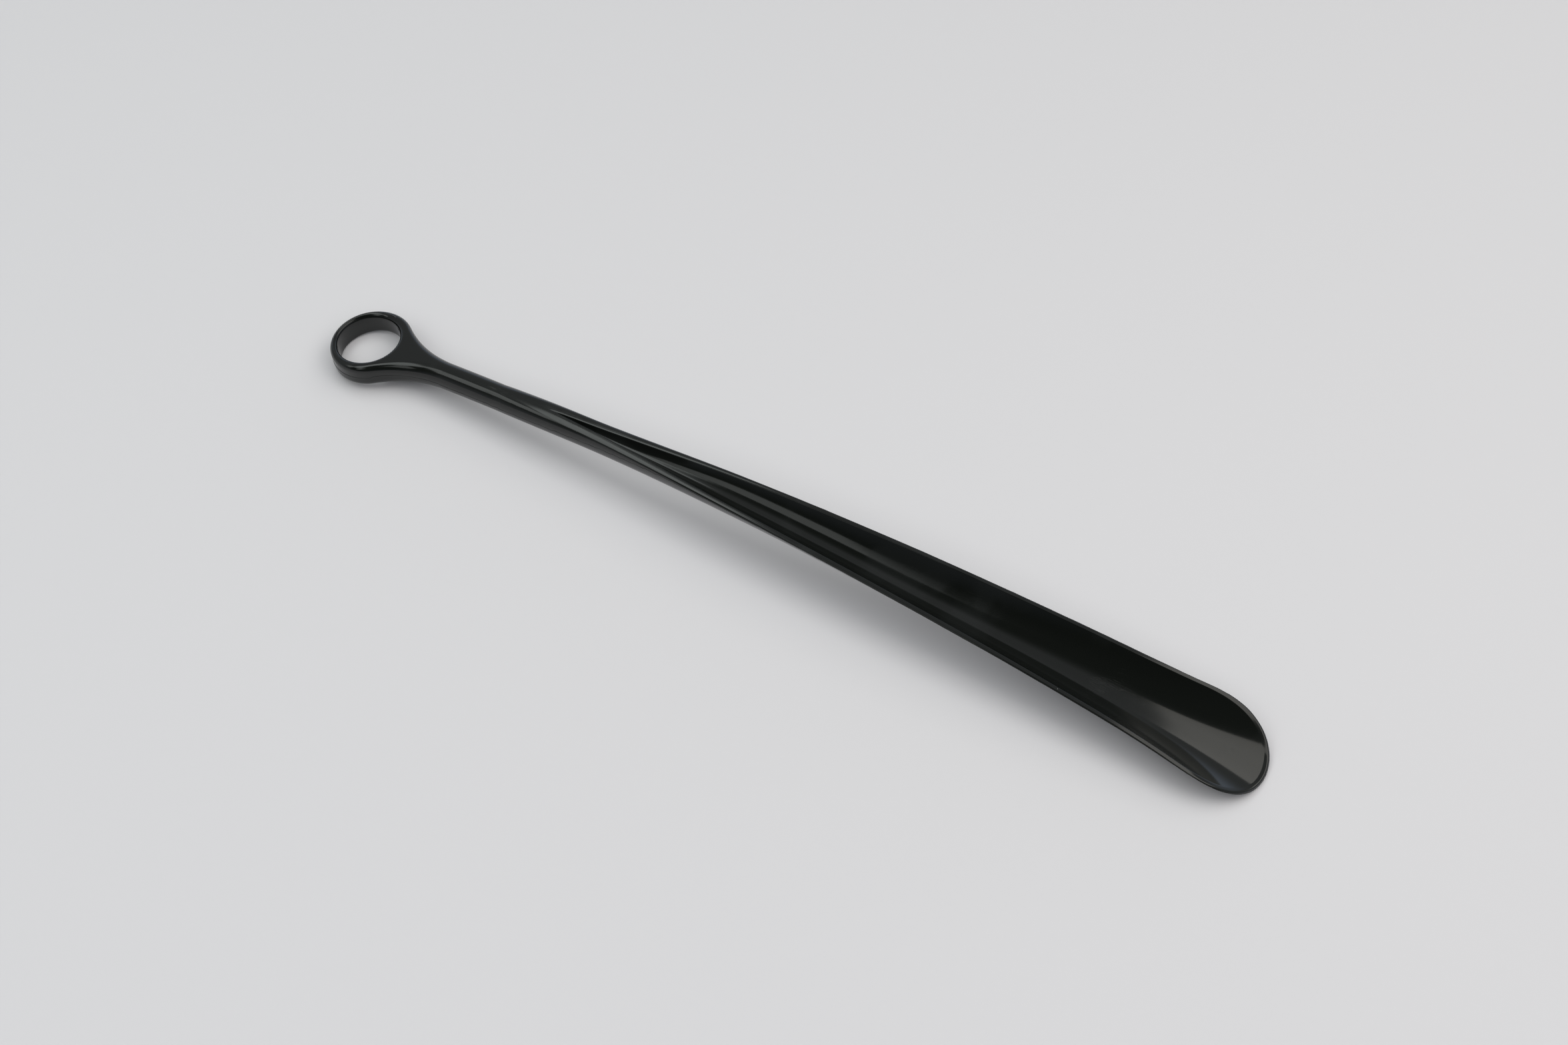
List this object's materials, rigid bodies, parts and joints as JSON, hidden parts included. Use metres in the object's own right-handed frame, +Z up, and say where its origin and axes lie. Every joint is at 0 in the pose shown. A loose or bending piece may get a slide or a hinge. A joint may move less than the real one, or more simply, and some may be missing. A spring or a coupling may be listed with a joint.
{
  "type": "long shoehorn",
  "caption": "Long one-piece shoehorn: a finger ring, a round stem that opens into a hollow arched blade, and a rounded tip.",
  "frame": {"origin": "middle of the bottom of the box, on the surface that the ring and the tip lie on", "axes": "+X from the finger ring to the tip, +Z up with the hollow side up, +Y to the left of that"},
  "size_m": [0.518, 0.0466, 0.0299],
  "materials": {
    "black_plastic": "glossy black injection-moulded polypropylene, lightly scuffed by use"
  },
  "bodies": {
    "root": {"ring": "black_plastic", "neck": "black_plastic", "stem": "black_plastic", "throat": "black_plastic", "upper_blade": "black_plastic", "lower_blade": "black_plastic", "tip": "black_plastic"}
  },
  "joints": []
}
